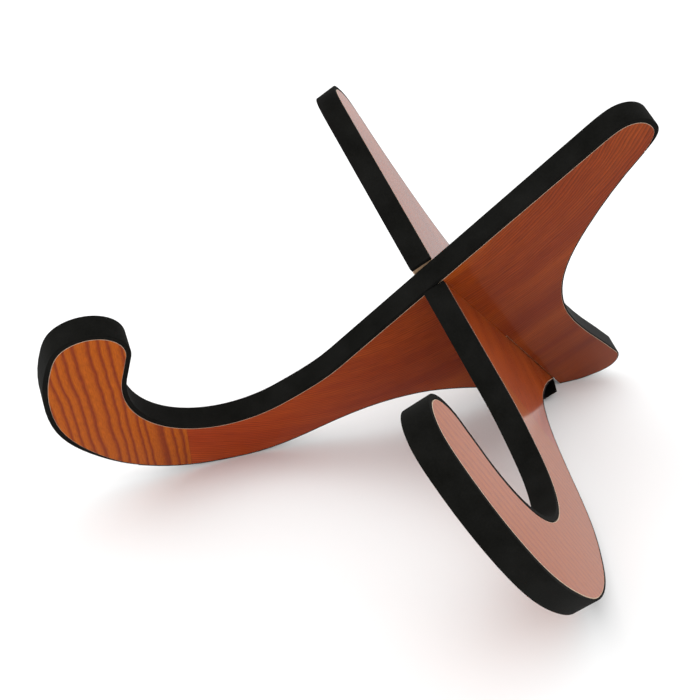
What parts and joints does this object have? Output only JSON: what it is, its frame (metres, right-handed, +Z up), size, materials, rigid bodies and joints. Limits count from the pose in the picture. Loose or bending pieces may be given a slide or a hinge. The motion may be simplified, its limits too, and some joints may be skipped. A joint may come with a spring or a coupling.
{
  "type": "small string instrument stand",
  "caption": "Free-standing take-apart stand of crossed, slotted wooden boards with hooked cradles and black foam on the edges that hold the instrument.",
  "frame": {"origin": "on the floor, below the centre of the overall box", "axes": "+Z up, -Y towards the hooks at the front, +X to the right seen from the front; the slots lie in the YZ plane and lean forward from +Z"},
  "size_m": [0.2274, 0.2758, 0.1609],
  "materials": {
    "fibreboard": "raw medium-density fibreboard, seen only in the slots",
    "veneer": "orange-brown stained open-grain veneer under satin lacquer",
    "foam": "matt black closed-cell foam",
    "edge_tape": "matt black edge tape"
  },
  "bodies": {
    "under_board": {"under_board_core": "fibreboard", "under_board_right_veneer": "veneer", "under_board_left_veneer": "veneer", "under_board_cradle_pad": "foam", "under_board_arm_pad": "foam", "under_board_belly_tape": "edge_tape", "under_board_rear_tape": "edge_tape", "under_board_foot_strip": "edge_tape"},
    "over_board": {"over_board_core": "fibreboard", "over_board_right_veneer": "veneer", "over_board_left_veneer": "veneer", "over_board_pad": "foam", "over_board_belly_tape": "edge_tape", "over_board_rear_tape": "edge_tape", "over_board_foot_strip": "edge_tape"}
  },
  "joints": [
    {"name": "over_board_lift", "type": "slide", "parent": "under_board", "child": "over_board", "axis": [0, -0.7844, 0.6203], "range_m": [0, 0.15]}
  ]
}
